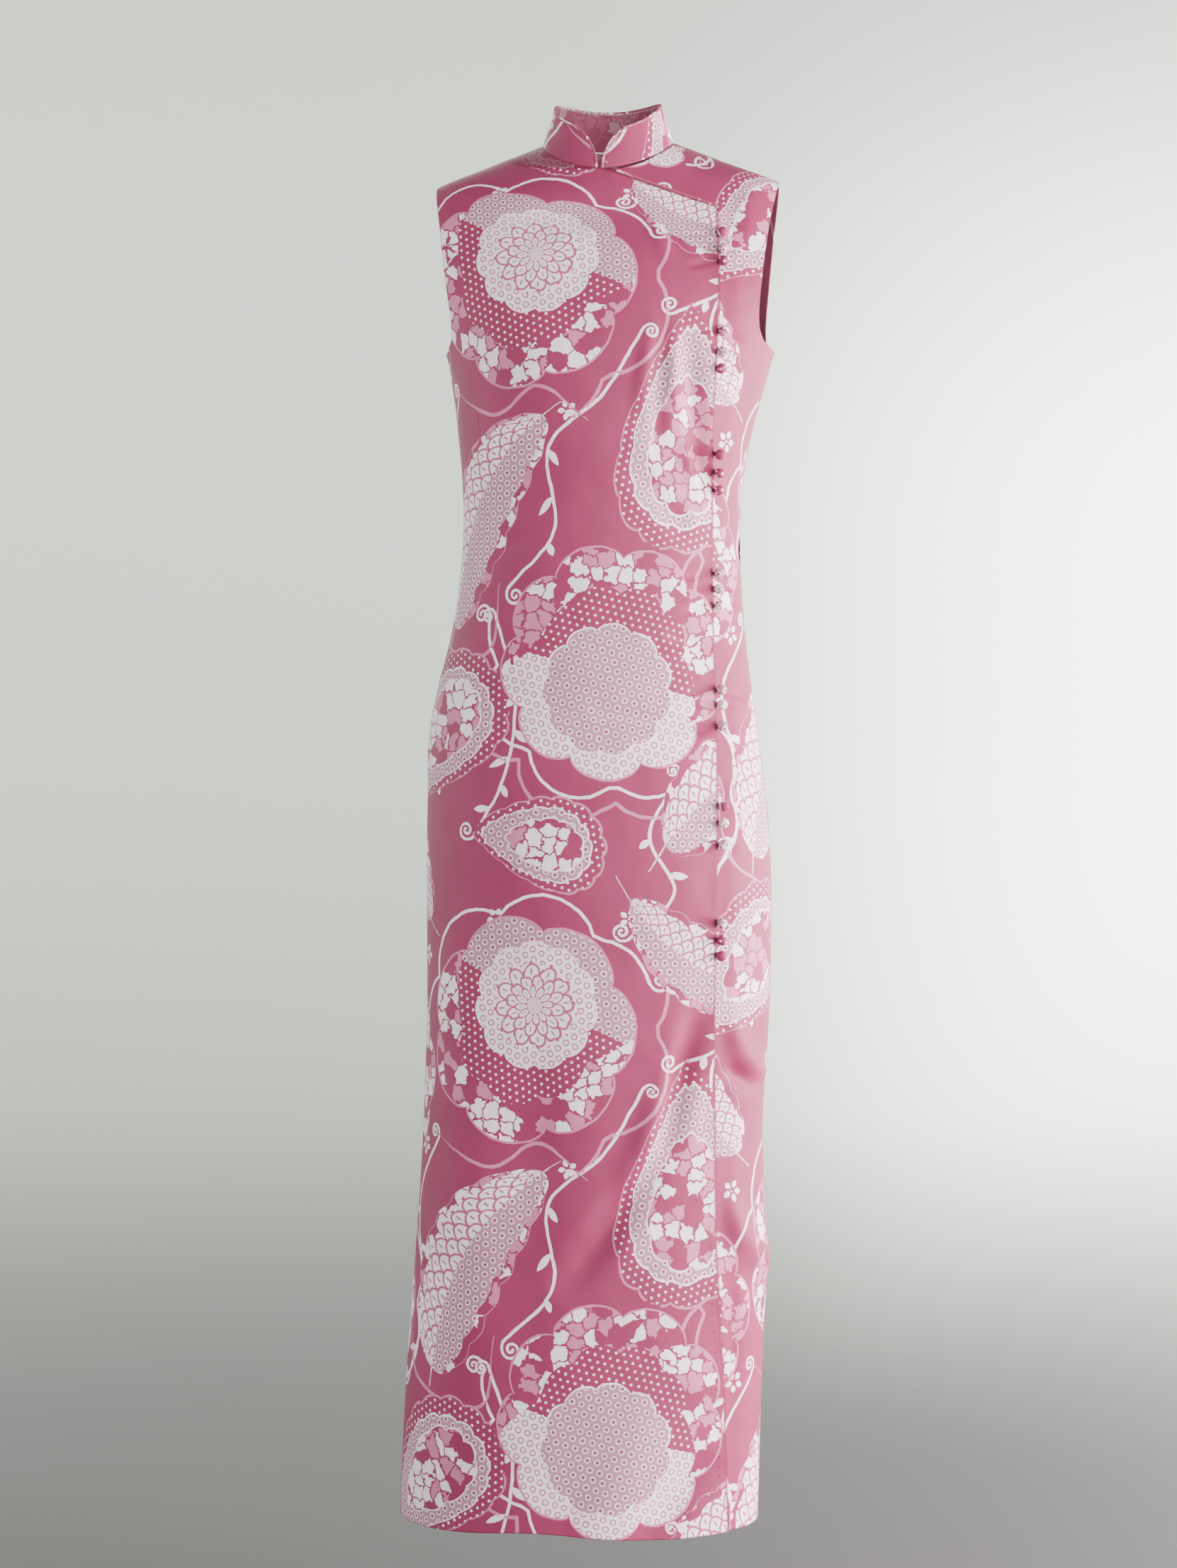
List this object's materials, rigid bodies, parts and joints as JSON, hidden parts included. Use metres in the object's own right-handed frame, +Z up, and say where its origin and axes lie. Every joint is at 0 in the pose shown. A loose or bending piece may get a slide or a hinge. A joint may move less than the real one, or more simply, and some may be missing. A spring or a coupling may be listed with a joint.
{
  "type": "column dress",
  "caption": "Sleeveless full-length column dress with a stand collar and a slanted side front fastened by ball buttons and loops, in worn form.",
  "frame": {"origin": "centre of the neck base, level with the points where the shoulder seams meet the collar", "axes": "+Z up the dress from hem to neck, -Y the way the front faces, +X the side that buttons"},
  "size_m": [0.3856, 0.2437, 1.4321],
  "materials": {
    "printed_cotton": "printed cotton sateen, rose ground with white and mauve print",
    "piping_cotton": "narrow piping and loops cut from the same cotton"
  },
  "bodies": {
    "root": {"front_panel": "printed_cotton", "side_panel": "printed_cotton", "back_panel": "printed_cotton", "collar": "printed_cotton", "collar_piping": "piping_cotton", "front_edge_piping": "piping_cotton", "button_01": "printed_cotton", "button_02": "printed_cotton", "button_03": "printed_cotton", "button_04": "printed_cotton", "button_05": "printed_cotton", "button_06": "printed_cotton", "button_07": "printed_cotton", "button_08": "printed_cotton", "button_09": "printed_cotton", "button_10": "printed_cotton", "button_11": "printed_cotton", "button_12": "printed_cotton", "button_13": "printed_cotton", "button_14": "printed_cotton", "button_15": "printed_cotton", "button_16": "printed_cotton", "button_17": "printed_cotton", "button_18": "printed_cotton", "button_19": "printed_cotton", "button_20": "printed_cotton", "button_21": "printed_cotton", "loop_01": "piping_cotton", "loop_02": "piping_cotton", "loop_03": "piping_cotton", "loop_04": "piping_cotton", "loop_05": "piping_cotton", "loop_06": "piping_cotton", "loop_07": "piping_cotton", "loop_08": "piping_cotton", "loop_09": "piping_cotton", "loop_10": "piping_cotton", "loop_11": "piping_cotton", "loop_12": "piping_cotton", "loop_13": "piping_cotton", "loop_14": "piping_cotton", "loop_15": "piping_cotton", "loop_16": "piping_cotton", "loop_17": "piping_cotton", "loop_18": "piping_cotton", "loop_19": "piping_cotton", "loop_20": "piping_cotton", "loop_21": "piping_cotton"}
  },
  "joints": []
}
